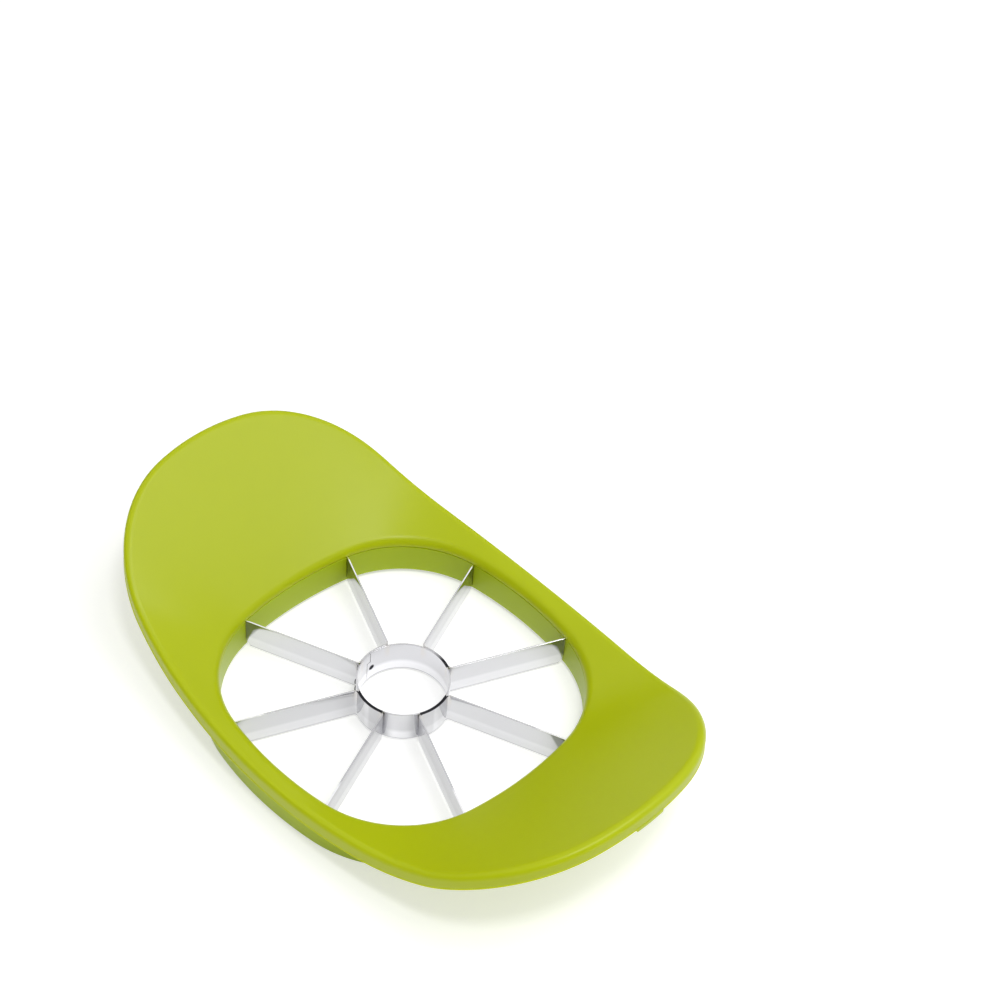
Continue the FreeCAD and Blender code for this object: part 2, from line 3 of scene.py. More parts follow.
import bmesh
import bpy
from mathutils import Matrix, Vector


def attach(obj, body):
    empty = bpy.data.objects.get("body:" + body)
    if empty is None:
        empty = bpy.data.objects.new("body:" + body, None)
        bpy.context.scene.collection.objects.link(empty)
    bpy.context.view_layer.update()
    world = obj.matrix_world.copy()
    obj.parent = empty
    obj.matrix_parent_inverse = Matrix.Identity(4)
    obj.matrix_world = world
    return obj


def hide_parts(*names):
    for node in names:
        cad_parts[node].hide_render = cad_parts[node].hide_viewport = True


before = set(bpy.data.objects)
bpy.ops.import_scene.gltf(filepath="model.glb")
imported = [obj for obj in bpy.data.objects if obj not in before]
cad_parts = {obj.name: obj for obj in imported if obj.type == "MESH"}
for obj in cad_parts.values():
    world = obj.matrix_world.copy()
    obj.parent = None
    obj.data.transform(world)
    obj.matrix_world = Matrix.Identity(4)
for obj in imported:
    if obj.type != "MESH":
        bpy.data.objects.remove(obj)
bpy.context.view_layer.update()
mm = 0.001
print("frame loaded:", ", ".join(sorted(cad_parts)))


# what the whole tool shares: two plan outlines and the saddle line of the rim, in mm and degrees
planShapes = {
    "opening": {
        "halfLength": 42.35, "halfWidth": 42.03,
        "endRadius": 96.1, "sideRadius": 96.1, "cornerRadius": 30.0,
    },
    "rim": {
        "halfLength": 81.16, "halfWidth": 48.2,
        "endRadius": 72.31, "sideRadius": 232.94, "cornerRadius": 36.42,
    },
}
saddle = {
    "waistHeight": 13.12,
    "middleRadius": 219.3,
    "middleAngle": 8.88,
    "shoulderRadius": 70.84,
    "lobeAngle": 29.0,
}
levels = {"seat": 10.0, "lip": 13.0, "bladeFoot": 0.8}
meshCare = {
    "mergeDistance": 0.004,
    "sliverWidth": 0.002,
    "bevelAngle": 50,
    "mouldedAngle": 40,
    "steelAngle": 30,
}
cornerShare = 0.3  # how near a three-point rounding comes to its corner


def quarterArcs(shape):
    # tangent arcs of one quarter of an outline: end, corner, side
    endX = shape["halfLength"] - shape["endRadius"]
    sideY = shape["halfWidth"] - shape["sideRadius"]
    toEnd = shape["endRadius"] - shape["cornerRadius"]
    toSide = shape["sideRadius"] - shape["cornerRadius"]
    span = math.hypot(endX, sideY)
    along = (toEnd ** 2 - toSide ** 2 + span ** 2) / (2 * span)
    across = math.sqrt(toEnd ** 2 - along ** 2)
    toward = Vector((-endX, sideY)) / span
    square = Vector((-toward.y, toward.x))
    corner = Vector((endX, 0)) + toward * along + square * across
    endTurn = math.atan2(corner.y, corner.x - endX)
    sideTurn = math.atan2(corner.y - sideY, corner.x)
    return [
        (endX, 0.0, shape["endRadius"], endTurn),
        (corner.x, corner.y, shape["cornerRadius"], sideTurn),
        (0.0, sideY, shape["sideRadius"], math.pi / 2),
    ]


openingArcs = quarterArcs(planShapes["opening"])
rimArcs = quarterArcs(planShapes["rim"])


def outlineAt(arcs, offset, direction):
    # where a ray from the centre meets the outline moved outward by offset,
    # and the unmoved outline's X at that place
    rayX, rayY = abs(math.cos(direction)), abs(math.sin(direction))
    for centreX, centreY, radius, lastTurn in arcs:
        along = centreX * rayX + centreY * rayY
        reach = (radius + offset) ** 2 - centreX ** 2 - centreY ** 2 + along ** 2
        if reach < 0:
            continue
        distance = along + math.sqrt(reach)
        turn = math.atan2(distance * rayY - centreY, distance * rayX - centreX)
        if turn <= lastTurn + 1e-9:  # a hair over, for rounding
            break
    return distance, centreX + radius * math.cos(turn)


def crestHeight(x):
    # the rim's crest: a shallow middle curve, a tighter shoulder, then a straight lobe
    x = abs(x)
    first, last = math.radians(saddle["middleAngle"]), math.radians(saddle["lobeAngle"])
    firstX = saddle["middleRadius"] * math.sin(first)
    lastX = firstX + saddle["shoulderRadius"] * (math.sin(last) - math.sin(first))
    if x <= firstX:
        fall = math.sqrt(saddle["middleRadius"] ** 2 - x ** 2)
        return saddle["waistHeight"] + saddle["middleRadius"] - fall
    turn = math.asin((min(x, lastX) - firstX) / saddle["shoulderRadius"] + math.sin(first))
    height = saddle["waistHeight"] + saddle["middleRadius"] * (1 - math.cos(first))
    height += saddle["shoulderRadius"] * (math.cos(first) - math.cos(turn))
    return height + max(x - lastX, 0.0) * math.tan(last)


# tools for shaping a piece
def editOnly(piece):
    if bpy.context.object and bpy.context.object.mode != "OBJECT":
        bpy.ops.object.mode_set(mode="OBJECT")
    bpy.ops.object.select_all(action="DESELECT")
    piece.select_set(True)
    bpy.context.view_layer.objects.active = piece
    bpy.ops.object.mode_set(mode="EDIT")


def leaveEdit():
    bpy.ops.object.mode_set(mode="OBJECT")


def sweptPiece(name, rings, closed):
    # a circle is extruded ring by ring, and each new ring's corners go to their places in mm
    bpy.ops.object.select_all(action="DESELECT")
    bpy.ops.mesh.primitive_circle_add(vertices=len(rings[0]), radius=mm)
    piece = bpy.context.object
    piece.name = name
    piece.data.name = name
    bpy.ops.object.mode_set(mode="EDIT")
    bpy.ops.mesh.select_mode(type="EDGE")
    mesh = bmesh.from_edit_mesh(piece.data)
    place = mesh.verts.layers.int.new("place")
    for index, corner in enumerate(mesh.verts):
        corner[place] = index
    for count, ring in enumerate(rings):
        if count:
            bpy.ops.mesh.extrude_edges_move()
        mesh = bmesh.from_edit_mesh(piece.data)
        place = mesh.verts.layers.int["place"]
        for corner in mesh.verts:
            if corner.select:
                corner.co = ring[corner[place]] * mm
        bmesh.update_edit_mesh(piece.data)
    bpy.ops.mesh.select_all(action="DESELECT")
    bpy.ops.mesh.select_non_manifold(
        use_wire=False, use_multi_face=False, use_non_contiguous=False, use_verts=False
    )
    if closed:
        bpy.ops.mesh.bridge_edge_loops()
    else:
        bpy.ops.mesh.edge_face_add()
    mesh = bmesh.from_edit_mesh(piece.data)
    mesh.verts.layers.int.remove(mesh.verts.layers.int["place"])
    bpy.ops.mesh.select_all(action="SELECT")
    bpy.ops.mesh.normals_make_consistent(inside=False)
    leaveEdit()
    return piece


def turnedPiece(name, steps, sectionAt):
    # the cross-section on every ray from the centre, joined all the way round
    sections = []
    for step in range(steps):
        direction = 2 * math.pi * step / steps
        outward = Vector((math.cos(direction), math.sin(direction), 0))
        sections.append([
            outward * distance + Vector((0, 0, height))
            for distance, height in sectionAt(direction)
        ])
    return sweptPiece(name, [list(ring) for ring in zip(*sections)], closed=True)


def roundedCorners(corners):
    # a closed profile in mm: each corner is (across, height, rounding, steps)
    points = []
    for index, (across, height, rounding, steps) in enumerate(corners):
        here = Vector((across, height))
        before = Vector(corners[index - 1][:2]) - here
        after = Vector(corners[(index + 1) % len(corners)][:2]) - here
        if rounding == 0:
            points.append(here)
            continue
        start = here + before.normalized() * rounding
        stop = here + after.normalized() * rounding
        for step in range(steps + 1):
            share = step / steps
            middle = here * 2 * share * (1 - share)
            points.append(start * (1 - share) ** 2 + middle + stop * share ** 2)
    return points


def combined(piece, other, operation):
    # takes the other piece out of this one, or melts it in, and then the other piece goes
    bpy.ops.object.select_all(action="DESELECT")
    bpy.context.view_layer.objects.active = piece
    piece.select_set(True)
    change = piece.modifiers.new("change", "BOOLEAN")
    change.operation = operation
    change.solver = "EXACT"
    change.object = other
    bpy.ops.object.modifier_apply(modifier=change.name)
    bpy.data.objects.remove(other)
    editOnly(piece)  # slivers along the join are cleared
    bpy.ops.mesh.select_all(action="SELECT")
    bpy.ops.mesh.remove_doubles(threshold=meshCare["mergeDistance"] * mm)
    bpy.ops.mesh.dissolve_degenerate(threshold=meshCare["sliverWidth"] * mm)
    bpy.ops.mesh.select_all(action="DESELECT")
    bpy.ops.mesh.select_face_by_sides(number=4, type="GREATER")
    bpy.ops.mesh.quads_convert_to_tris(ngon_method="BEAUTY")
    leaveEdit()


def plainBox(low, high, turn=0.0):
    # a box between two corners in mm, turned about the tool's axis
    bpy.ops.object.select_all(action="DESELECT")
    bpy.ops.mesh.primitive_cube_add(size=mm, location=(0, 0, 0))
    box = bpy.context.object
    bpy.ops.object.mode_set(mode="EDIT")
    size, centre = Vector(high) - Vector(low), (Vector(high) + Vector(low)) / 2
    bpy.ops.transform.resize(value=size)
    bpy.ops.transform.translate(value=centre * mm)
    leaveEdit()
    box.rotation_euler.z = turn
    bpy.ops.object.transform_apply(location=True, rotation=True, scale=True)
    return box


def rounded(piece, width, segments):
    edge = piece.modifiers.new("edge", "BEVEL")
    edge.width = width * mm
    edge.segments = segments
    edge.limit_method = "ANGLE"
    edge.angle_limit = math.radians(meshCare["bevelAngle"])
    bpy.context.view_layer.objects.active = piece
    bpy.ops.object.modifier_apply(modifier=edge.name)


def joined(pieces):
    bpy.ops.object.select_all(action="DESELECT")
    for piece in pieces:
        piece.select_set(True)
    bpy.context.view_layer.objects.active = pieces[0]
    bpy.ops.object.join()
    return bpy.context.object


def softShaded(piece, angle):
    bpy.ops.object.select_all(action="DESELECT")
    piece.select_set(True)
    bpy.context.view_layer.objects.active = piece
    bpy.ops.object.shade_smooth_by_angle(angle=math.radians(angle))


# the moulded top: a saddle-shaped tray with a lip, a rounded rim and two nesting tabs
topShell = {
    "steps": 360,
    "lipRounding": 3.0,
    "lipDrop": 2.85,
    "rimRounding": 1.4,
    "rimDepth": 4.3,
    "rimWall": 1.7,
    "footRounding": 0.6,
    "footInset": 0.14,
    "footBead": ((0.14, 0.55), (0.14, 0.3), (0.0, 0.14), (0.02, 0.03), (0.2, 0.0)),
    "thickness": 2.2,
    "creaseDepth": 0.07,
    "creaseWidth": 0.4,
    "creaseInset": 1.75,
    "seatWidth": 4.37,
    "ribInset": 2.75,
    "ribWidth": 0.8,
    "ribDepth": 1.0,
    "seamRounding": 0.1,
    "tabWidth": 8.8,
    "tabShift": 1.1,
    "tabDrop": 1.3,
    "tabRise": 0.15,
    "tabInset": 0.05,
    "tabRounding": 0.22,
    "tabSegments": 3,
    "tabSteps": 12,  # cuts across a tab, enough for the plan curve
    "firstSlope": 0.2,  # a first guess at the dish's slope, mended in a few rounds
    "slopeRounds": 8,
    "lipSteps": 12,
    # rings across the dish from the lip, then closer ones before the crest
    "dishShares": (0.02, 0.05, 0.09, 0.14, 0.2, 0.28, 0.38, 0.5, 0.62, 0.72),
    "edgeReach": 4.2,
    "edgeGap": 0.2,
    "edgeSteps": 9,
    "crestSteps": 8,
    "footCurve": ((1.0, 0.0), (0.4, 0.12), (0.12, 0.4), (0.0, 1.0)),
    # the underside from the rim's wall, at 1, to the opening, at 0
    "underShares": (1.0, 0.96, 0.9, 0.82, 0.7, 0.58, 0.46, 0.34, 0.24, 0.16, 0.1, 0.05, 0.0),
}


def shellSection(direction):
    # the tray's cross-section on one ray: seat, lip, dish and rim, and back underneath
    shell = topShell

    def openingAt(offset):
        return outlineAt(openingArcs, offset, direction)[0]

    def rimAt(inset):
        return outlineAt(rimArcs, -inset, direction)

    def crestAt(turn):
        distance, foot = rimAt(shell["footInset"] + shell["rimRounding"] * (1 - math.sin(turn)))
        return distance, crestHeight(foot) - shell["rimRounding"] * (1 - math.cos(turn))

    def lipAt(turn):
        across = shell["lipRounding"] * (1 - math.cos(turn))
        drop = shell["lipDrop"] * (1 - math.sin(turn))
        return openingAt(across), levels["lip"] - drop

    slope = shell["firstSlope"]
    for _ in range(shell["slopeRounds"]):  # a straight dish that leaves the lip without a crease
        lipTurn = math.pi / 2 - slope
        lipEnd, lipZ = lipAt(lipTurn)
        crestStart, crestZ = crestAt(-slope)
        slope = max(math.atan((crestZ - lipZ) / (crestStart - lipEnd)), 0.0)

    def topZ(distance):
        share = min(max((distance - lipEnd) / (crestStart - lipEnd), 0.0), 1.0)
        return lipZ + (crestZ - lipZ) * share

    def creaseDrop(distance):
        inset = (rimAt(0)[0] - distance - shell["creaseInset"]) / shell["creaseWidth"]
        return shell["creaseDepth"] * math.exp(-inset ** 2)

    points = []
    soft = shell["seamRounding"]
    for offset, height in ((soft, 0), (soft * cornerShare, soft * cornerShare), (0, soft)):
        points.append((openingAt(offset), levels["seat"] + height))
    points += [lipAt(lipTurn * step / shell["lipSteps"]) for step in range(shell["lipSteps"] + 1)]
    for share in shell["dishShares"]:
        distance = lipEnd + (crestStart - lipEnd) * share
        points.append((distance, topZ(distance) - creaseDrop(distance)))
    last = min(crestStart - points[-1][0] - shell["edgeGap"], shell["edgeReach"])
    for step in range(shell["edgeSteps"]):
        distance = crestStart - last * (1 - step / shell["edgeSteps"])
        points.append((distance, topZ(distance) - creaseDrop(distance)))
    for step in range(shell["crestSteps"] + 1):
        turn = -slope + (math.pi / 2 + slope) * step / shell["crestSteps"]
        distance, height = crestAt(turn)
        points.append((distance, height - creaseDrop(distance)))
    for inset, rise in shell["footBead"]:  # the mould parts here and leaves a fine bead
        distance, foot = rimAt(inset)
        points.append((distance, crestHeight(foot) - shell["rimDepth"] + rise))
    rounding = shell["footRounding"]
    for share, drop in shell["footCurve"]:
        distance, foot = rimAt(shell["rimWall"] - rounding * share)
        points.append((distance, crestHeight(foot) - shell["rimDepth"] + rounding * drop))
    inner, outer = openingAt(shell["seatWidth"]), rimAt(shell["rimWall"])[0]
    fall = levels["seat"] - topZ(inner) + shell["thickness"] / math.cos(slope)
    for share in shell["underShares"]:
        distance = inner + (outer - inner) * share
        rise = topZ(distance) - topZ(inner)
        points.append((distance, levels["seat"] + rise - fall * share))
    ribOuter = shell["ribInset"] + shell["ribWidth"]
    ribCorners = ((ribOuter, 0), (ribOuter, 1), (shell["ribInset"], 1), (shell["ribInset"], 0))
    for offset, drop in ribCorners:
        points.append((openingAt(offset), levels["seat"] - drop * shell["ribDepth"]))
    return points


def nestingTab(side):
    # a small step under a lobe's tip that keeps stacked tools apart
    shell = topShell
    foot = crestHeight(planShapes["rim"]["halfLength"]) - shell["rimDepth"]
    low, high = foot - shell["tabDrop"], foot + shell["tabRise"]
    bpy.ops.object.select_all(action="DESELECT")
    bpy.ops.mesh.primitive_cube_add(size=mm)
    tab = bpy.context.object
    bpy.ops.object.mode_set(mode="EDIT")
    bpy.ops.transform.resize(value=(1.0, shell["tabWidth"], high - low))
    bpy.ops.transform.translate(value=(0, 0, (low + high) / 2 * mm))
    for cut in range(1, shell["tabSteps"]):
        bpy.ops.mesh.select_all(action="SELECT")
        level = shell["tabWidth"] * (cut / shell["tabSteps"] - 0.5)
        bpy.ops.mesh.bisect(plane_co=(0, level * mm, 0), plane_no=(0, 1, 0))
    bpy.ops.mesh.select_all(action="SELECT")
    mesh = bmesh.from_edit_mesh(tab.data)
    endX, _, endRadius, _ = rimArcs[0]
    for corner in mesh.verts:
        inset = shell["tabInset"] if corner.co.x > 0 else shell["rimWall"] - shell["tabInset"]
        across = corner.co.y / mm + shell["tabShift"]
        corner.co.x = side * (endX + math.sqrt((endRadius - inset) ** 2 - across ** 2)) * mm
        corner.co.y = side * across * mm
    bmesh.update_edit_mesh(tab.data)
    bpy.ops.mesh.normals_make_consistent(inside=False)
    leaveEdit()
    rounded(tab, shell["tabRounding"], shell["tabSegments"])
    return tab


shellPiece = turnedPiece("top_shell_moulded", topShell["steps"], shellSection)
for side in (1, -1):
    combined(shellPiece, nestingTab(side), "UNION")
softShaded(shellPiece, meshCare["mouldedAngle"])
print("top shell:", len(shellPiece.data.polygons), "faces")


# the blade carrier: two walls under a web, with eight blade slots
bladeCarrier = {
    "steps": 288,
    "width": 4.2,
    "wall": 1.4,
    "web": 1.6,
    "innerFoot": 1.2,
    "edgeRounding": 0.3,
    "edgeSteps": 3,
    "seamRounding": 0.1,
    "seamSteps": 2,
    "seamGap": 0.3,  # the open line under the top
    "seamReach": 1.2,
    "grooveInner": 2.7,
    "grooveOuter": 3.6,
    "grooveDepth": 1.05,
    "slotHalfWidth": 0.25,
    "slotFoot": 2.2,
    "slotReach": 2.15,
    "slotOver": 1.0,  # the cutters reach past the top
}
bladeStrip = {
    "angle": 22.5,
    "offset": 0.3,
    "thickness": 0.4,
    "bend": 1.0,
    "bendSteps": 8,
    "bendClearance": 0.3,
    "wrapSteps": 9,
    "spacing": 2.5,
    "spaces": 10,
    "tongue": 2.1,
    "tongueFoot": 2.2,
    "tongueStops": (0.6, 0.05),
    "tongueInset": 0.02,
    "heelBack": 1.0,
    "heelGap": 0.3,
    "heelStep": 0.2,
    "heelRun": 0.4,
    "topRounding": 0.07,
    "sideHeights": (5.0, 7.5),  # rings that keep the shading even
    "groundHeight": 1.3,
    "groundFade": 0.6,
    "groundInset": 0.13,
    "ringRadius": 11.9,
}


def wallReach(halfSize):
    # from the axis along a blade to the opening's wall
    radius = planShapes["opening"]["sideRadius"]
    turn = math.radians(bladeStrip["angle"])
    centre = halfSize - radius
    return centre * math.cos(turn) + math.sqrt(radius ** 2 - (centre * math.sin(turn)) ** 2)


carrier = bladeCarrier
soft, softSteps = carrier["edgeRounding"], carrier["edgeSteps"]
seam, seat = carrier["seamRounding"], levels["seat"]
carrierProfile = roundedCorners([
    (0.0, carrier["innerFoot"], soft, softSteps),
    (0.0, seat - carrier["seamGap"], seam, softSteps),
    (carrier["seamReach"], seat - carrier["seamGap"], 0, 0),
    (carrier["seamReach"], seat, 0, 0),
    (carrier["grooveInner"], seat, 0, 0),
    (carrier["grooveInner"], seat - carrier["grooveDepth"], 0, 0),
    (carrier["grooveOuter"], seat - carrier["grooveDepth"], 0, 0),
    (carrier["grooveOuter"], seat, 0, 0),
    (carrier["width"], seat, seam, carrier["seamSteps"]),
    (carrier["width"], 0.0, soft, softSteps),
    (carrier["width"] - carrier["wall"], 0.0, soft, softSteps),
    (carrier["width"] - carrier["wall"], seat - carrier["web"], soft, softSteps),
    (carrier["wall"], seat - carrier["web"], soft, softSteps),
    (carrier["wall"], carrier["innerFoot"], soft, softSteps),
])


def carrierSection(direction):
    return [
        (outlineAt(openingArcs, across, direction)[0], height)
        for across, height in carrierProfile
    ]


carrierPiece = turnedPiece("blade_carrier_moulded", carrier["steps"], carrierSection)
slots = []
for facing in range(4):
    halfSize = planShapes["opening"]["halfWidth" if facing % 2 else "halfLength"]
    reach = wallReach(halfSize)
    for side in (1, -1):
        middle, half = side * bladeStrip["offset"], carrier["slotHalfWidth"]
        low = (reach - carrier["wall"], middle - half, carrier["slotFoot"])
        high = (reach + carrier["slotReach"], middle + half, seat + carrier["slotOver"])
        slots.append(plainBox(low, high, math.radians(90 * facing + side * bladeStrip["angle"])))
combined(carrierPiece, joined(slots), "DIFFERENCE")
softShaded(carrierPiece, meshCare["mouldedAngle"])
print("blade carrier:", len(carrierPiece.data.polygons), "faces")


# the blades: each strip comes in, wraps a quarter of the core ring and goes out again
noStop = -99.0  # stands for a place in the bend or on the ring


def stripPath(halfSize):
    # the strip's middle line in plan, from one tongue's tip to the other: each place, the
    # side it faces and how far past the wall it lies
    strip = bladeStrip
    turn = math.radians(strip["angle"])
    along = Vector((math.cos(turn), math.sin(turn)))
    across = Vector((-math.sin(turn), math.cos(turn)))
    wrap = strip["ringRadius"] + strip["thickness"] / 2
    bendSide = strip["offset"] - strip["bend"]
    bendAlong = math.sqrt((wrap + strip["bend"]) ** 2 - bendSide ** 2)
    bendCentre = along * bendAlong + across * bendSide
    wrapTurn = math.atan2(bendCentre.y, bendCentre.x)
    wall = wallReach(halfSize)
    back, gap = -strip["heelBack"], -strip["heelGap"]
    stops = [strip["tongue"], *strip["tongueStops"], gap, gap - strip["heelStep"]]
    stops += [back + strip["heelStep"], back, back - strip["heelRun"]]
    stops += [-strip["spacing"] * count for count in range(1, strip["spaces"] + 1)]
    half = []
    for stop in stops:
        if wall + stop > bendAlong + strip["bendClearance"]:
            half.append((along * (wall + stop) + across * strip["offset"], across, stop))
    steps = strip["bendSteps"]
    for step in range(steps + 1):  # the tight bend beside the ring
        angle = turn + math.pi / 2 + (wrapTurn + math.pi / 2 - turn) * step / steps
        outward = Vector((math.cos(angle), math.sin(angle)))
        half.append((bendCentre + outward * strip["bend"], outward, noStop))
    for step in range(1, strip["wrapSteps"]):  # round the ring to the middle of the pair
        angle = wrapTurn * (1 - step / strip["wrapSteps"])
        outward = Vector((math.cos(angle), math.sin(angle)))
        half.append((outward * wrap, -outward, noStop))
    centre = [(Vector((wrap, 0)), Vector((-1, 0)), noStop)]
    mirrored = [
        (Vector((place.x, -place.y)), Vector((side.x, -side.y)), stop)
        for place, side, stop in reversed(half)
    ]
    return half + centre + mirrored


def stripPiece(name, facing, halfSize):
    strip, seat = bladeStrip, levels["seat"]
    thick, soft = strip["thickness"] / 2, strip["topRounding"]
    heel = strip["tongueFoot"] - levels["bladeFoot"]
    groundTop = levels["bladeFoot"] + strip["groundHeight"] + strip["groundFade"]
    rings = []
    for place, side, stop in stripPath(halfSize):
        share = (stop + strip["heelBack"]) / (strip["heelBack"] - strip["heelGap"])
        foot = levels["bladeFoot"] + heel * min(max(share, 0.0), 1.0)
        ground = min(strip["groundHeight"], groundTop - foot)
        thin = thick - (strip["groundInset"] if share <= 0 else strip["tongueInset"])
        half = [(thin, foot), (thick, foot + ground)]
        half += [(thick, height) for height in strip["sideHeights"]]
        half += [(thick, seat - soft), (thick - soft * cornerShare, seat - soft * cornerShare)]
        half += [(thick - soft, seat)]
        ring = []
        for across, height in [(-across, height) for across, height in half] + half[::-1]:
            point = place + side * across
            ring.append(Vector((point.x, point.y, height)))
        rings.append(ring)
    piece = sweptPiece(name, rings, closed=False)
    piece.rotation_euler.z = math.radians(facing)
    bpy.ops.object.transform_apply(location=True, rotation=True, scale=True)
    softShaded(piece, meshCare["steelAngle"])
    return piece


bladePieces = {}
for node, facing in (("right", 0), ("back", 90), ("left", 180), ("front", 270)):
    halfSize = planShapes["opening"]["halfWidth" if facing % 180 else "halfLength"]
    bladePieces[node] = stripPiece(f"blade_strip_{node}", facing, halfSize)
print("blade strips:", len(bladePieces), "of", len(bladePieces["right"].data.polygons), "faces")


# the core ring: a rolled band with a stepped seam and a locking slot
coreRing = {
    "steps": 240,
    "radius": 11.5,
    "wall": 0.4,
    "innerHeights": (3.0, 6.5),
    "outerHeight": 6.5,
    "topRounding": 0.07,
    "groundHeight": 1.3,
    "groundInset": 0.2,
    "seamGap": 0.15,
    "seamOffset": 0.8,
    "seamJog": 1.2,
    "seamUpper": 3.0,
    "slotLength": 1.5,
    "slotHeight": 0.9,
    "slotDrop": 5.4,
    "slotSide": 0.45,
    "cutOver": 1.0,
    "lugTurn": 218,
    "lugHeights": (6.3, 3.7),
    "lugSize": (0.9, 1.1, 1.0),
    "lugRounding": 0.2,
    "lugSegments": 3,
}
ring = coreRing
innerRadius, outerRadius = ring["radius"], ring["radius"] + ring["wall"]
top, foot, soft = levels["seat"], levels["bladeFoot"], ring["topRounding"]
ringProfile = [
    (innerRadius, foot),
    *[(innerRadius, height) for height in ring["innerHeights"]],
    (innerRadius, top - soft),
    (innerRadius + soft * cornerShare, top - soft * cornerShare),
    (innerRadius + soft, top),
    (outerRadius - soft, top),
    (outerRadius - soft * cornerShare, top - soft * cornerShare),
    (outerRadius, top - soft),
    (outerRadius, ring["outerHeight"]),
    (outerRadius, foot + ring["groundHeight"]),
    (outerRadius - ring["groundInset"], foot),
]
ringPiece = turnedPiece("core_ring_rolled", ring["steps"], lambda direction: ringProfile)

gap, offset, jog = ring["seamGap"] / 2, ring["seamOffset"], ring["seamJog"]
behind, ahead = -outerRadius - ring["cutOver"], -innerRadius + ring["cutOver"]
above, below = top + ring["cutOver"], foot - ring["cutOver"]
stepZ = top - ring["seamUpper"]
slotY, slotZ = ring["slotSide"] - offset, top - ring["slotDrop"]
slotHalf, slotRise = ring["slotLength"] / 2, ring["slotHeight"] / 2
cuts = [  # the seam above its step, the step, the seam below it, and the locking slot
    ((behind, -offset - gap, stepZ - gap), (ahead, -offset + gap, above)),
    ((behind, -offset - jog - gap, stepZ - gap), (ahead, -offset + gap, stepZ + gap)),
    ((behind, -offset - jog - gap, below), (ahead, -offset - jog + gap, stepZ + gap)),
    ((behind, slotY - slotHalf, slotZ - slotRise), (ahead, slotY + slotHalf, slotZ + slotRise)),
]
for low, high in cuts:
    combined(ringPiece, plainBox(low, high), "DIFFERENCE")

lugs = []
for level in ring["lugHeights"]:  # the two folded ends that lock the rolled band
    deep, wide, tall = ring["lugSize"]
    low = (outerRadius - deep / 2, -wide / 2, level - tall / 2)
    lug = plainBox(low, (low[0] + deep, -low[1], low[2] + tall), math.radians(ring["lugTurn"]))
    rounded(lug, ring["lugRounding"], ring["lugSegments"])
    lugs.append(lug)
ringPiece = joined([ringPiece, *lugs])
softShaded(ringPiece, meshCare["steelAngle"])
print("core ring:", len(ringPiece.data.polygons), "faces")


# materials
def linear(hexColour):
    # an sRGB hex value on the linear scale that the shaders use
    channels = [int(hexColour[index:index + 2], 16) / 255 for index in (1, 3, 5)]
    return [c / 12.92 if c <= 0.04045 else ((c + 0.055) / 1.055) ** 2.4 for c in channels] + [1.0]


def addNode(tree, kind, sockets=None, **settings):
    node = tree.nodes.new(kind)
    for key, value in settings.items():
        setattr(node, key, value)
    for socket, value in (sockets or {}).items():
        if isinstance(value, bpy.types.NodeSocket):
            tree.links.new(value, node.inputs[socket])
        else:
            node.inputs[socket].default_value = value
    return node


def newMaterial(name):
    material = bpy.data.materials.new(name)
    material.use_nodes = True
    material.node_tree.nodes.clear()
    return material, material.node_tree


def perMetre(millimetres):
    return 1 / (millimetres * mm)


mouldedGreen = {
    "colour": "#b7c300",
    "deepColour": "#b3c000",
    "carrierColour": "#afc202",
    "carrierDeep": "#abbf02",
    "roughness": 0.35,
    "smoother": 0.05,
    "rougher": 0.06,
    "ior": 1.49,
    "specularLevel": 0.3,
    "glowThrough": 0.6,
    "glowReach": (1.0, 1.0, 0.1),
    "glowScale": 2.2,
    "sparkGrain": 0.5,
    "sparkDepth": 0.018,
    "flowSize": 30,
}


def lowGlossPolypropylene(name, colour, deepColour):
    # injection-moulded polypropylene from a spark-eroded tool: an even satin, with a fine
    # grain that breaks up highlights
    green = mouldedGreen
    material, tree = newMaterial(name)
    place = addNode(tree, "ShaderNodeTexCoord").outputs["Object"]
    flow = addNode(
        tree, "ShaderNodeTexNoise",
        {"Vector": place, "Scale": perMetre(green["flowSize"]), "Detail": 2.0},
    )
    colourMix = addNode(
        tree, "ShaderNodeMix",
        {"Factor": flow.outputs["Fac"], "A": linear(deepColour), "B": linear(colour)},
        data_type="RGBA",
    )
    # the real grain is about 0.1 mm; it is drawn at 0.5 mm so that it shows at this size
    grain = addNode(
        tree, "ShaderNodeTexNoise",
        {"Vector": place, "Scale": perMetre(green["sparkGrain"]), "Detail": 3.0, "Roughness": 0.6},
    )
    gloss = addNode(
        tree, "ShaderNodeMapRange",
        {
            "Value": grain.outputs["Fac"],
            "To Min": green["roughness"] - green["smoother"],
            "To Max": green["roughness"] + green["rougher"],
        },
    )
    bump = addNode(
        tree, "ShaderNodeBump",
        {"Height": grain.outputs["Fac"], "Distance": green["sparkDepth"] * mm, "Strength": 1.0},
    )
    shader = addNode(
        tree, "ShaderNodeBsdfPrincipled",
        {
            "Base Color": colourMix.outputs["Result"],
            "Roughness": gloss.outputs["Result"],
            "Normal": bump.outputs["Normal"],
            "IOR": green["ior"],
            "Specular IOR Level": green["specularLevel"],
            "Subsurface Weight": green["glowThrough"],
            "Subsurface Radius": green["glowReach"],
            "Subsurface Scale": green["glowScale"] * mm,
        },
    )
    addNode(tree, "ShaderNodeOutputMaterial", {"Surface": shader.outputs["BSDF"]})
    return material


